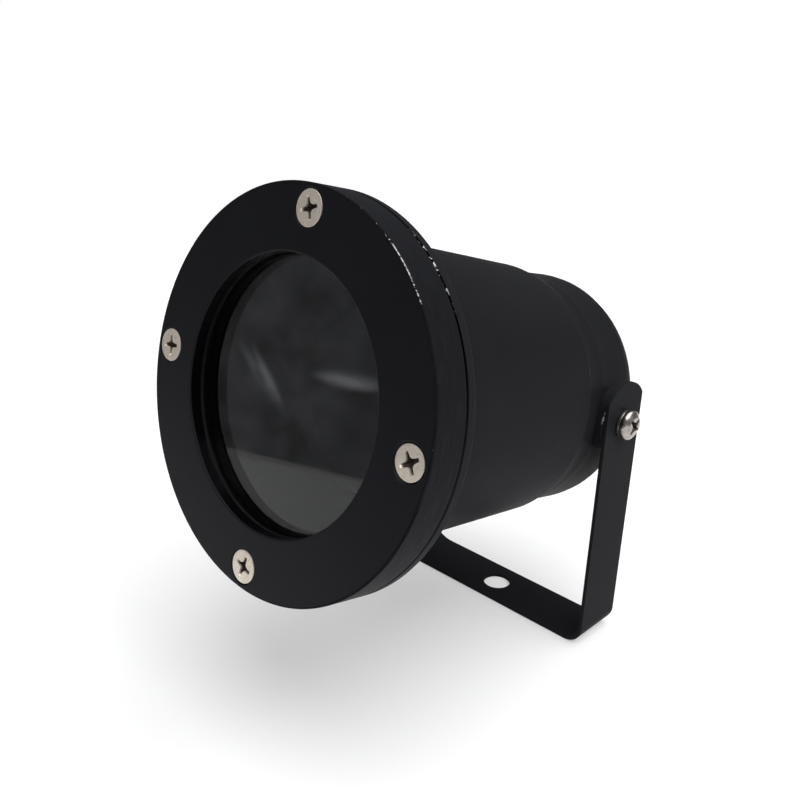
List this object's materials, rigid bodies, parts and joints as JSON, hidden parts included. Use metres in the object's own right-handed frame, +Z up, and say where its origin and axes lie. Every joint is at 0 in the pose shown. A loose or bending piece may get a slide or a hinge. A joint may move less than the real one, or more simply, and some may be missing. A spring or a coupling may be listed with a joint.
{
  "type": "underwater pond light",
  "caption": "Black cast pond light: a sealed round lamp head with a screwed-on front ring and glass window, tilting on a U-shaped strip bracket, with a cable gland at the back.",
  "frame": {"origin": "middle of the fixing hole on the bracket's underside", "axes": "+Z up out of the bracket's base, the light shines towards -Y tilted up 12.4 degrees, +X along the pivot axis"},
  "size_m": [0.09, 0.1333, 0.1277],
  "materials": {
    "housing_coat": "satin black powder coat on cast aluminium",
    "ring_coat": "satin black powder coat, worn bright along the front edge",
    "bracket_coat": "satin black paint on steel strip",
    "screw_nickel": "bright nickel plate",
    "washer_zinc": "bright zinc plate",
    "gasket_rubber": "black rubber",
    "insert_rubber": "black rubber, matte",
    "glass": "clear toughened float glass",
    "gland_nylon": "black nylon",
    "holder_ceramic": "unglazed steatite",
    "contact_brass": "bright brass",
    "holder_steel": "zinc-plated sheet",
    "lead_sleeve": "silicone sleeve",
    "terminal_plastic": "moulded nylon",
    "lamp_plastic": "moulded plastic",
    "lamp_aluminium": "grey anodised",
    "board": "black solder mask",
    "emitter": "yellow phosphor under clear resin",
    "lamp_lens": "clear moulded acrylic",
    "lamp_black": "black moulded plastic"
  },
  "bodies": {
    "bracket": {"mounting_bracket": "bracket_coat"},
    "head": {"pivot_screw_left": "screw_nickel", "pivot_screw_right": "screw_nickel", "spring_washer_left": "washer_zinc", "spring_washer_right": "washer_zinc", "housing": "housing_coat", "front_ring": "ring_coat", "ring_screws": "screw_nickel", "front_gasket": "gasket_rubber", "lens_glass": "glass", "rear_gasket": "gasket_rubber", "gland_body": "gland_nylon", "gland_o_ring": "gasket_rubber", "gland_insert": "insert_rubber", "gland_dome_nut": "gland_nylon", "gland_lock_nut": "gland_nylon", "lamp_holder": "holder_ceramic", "holder_contacts": "contact_brass", "holder_bracket": "holder_steel", "holder_screws": "holder_steel", "holder_leads": "lead_sleeve", "terminal_block": "terminal_plastic", "terminal_clamps": "contact_brass", "lamp_pins": "screw_nickel", "lamp_driver_case": "lamp_plastic", "lamp_heat_sink": "lamp_aluminium", "lamp_led_board": "board", "lamp_emitters": "emitter", "lamp_lens": "lamp_lens", "lamp_bezel": "lamp_black"}
  },
  "joints": [
    {"name": "head_tilt", "type": "hinge", "parent": "bracket", "child": "head", "pos_m": [0, 0, 0.0652], "axis": [-1, 0, 0], "range_deg": [-24, 178]}
  ]
}
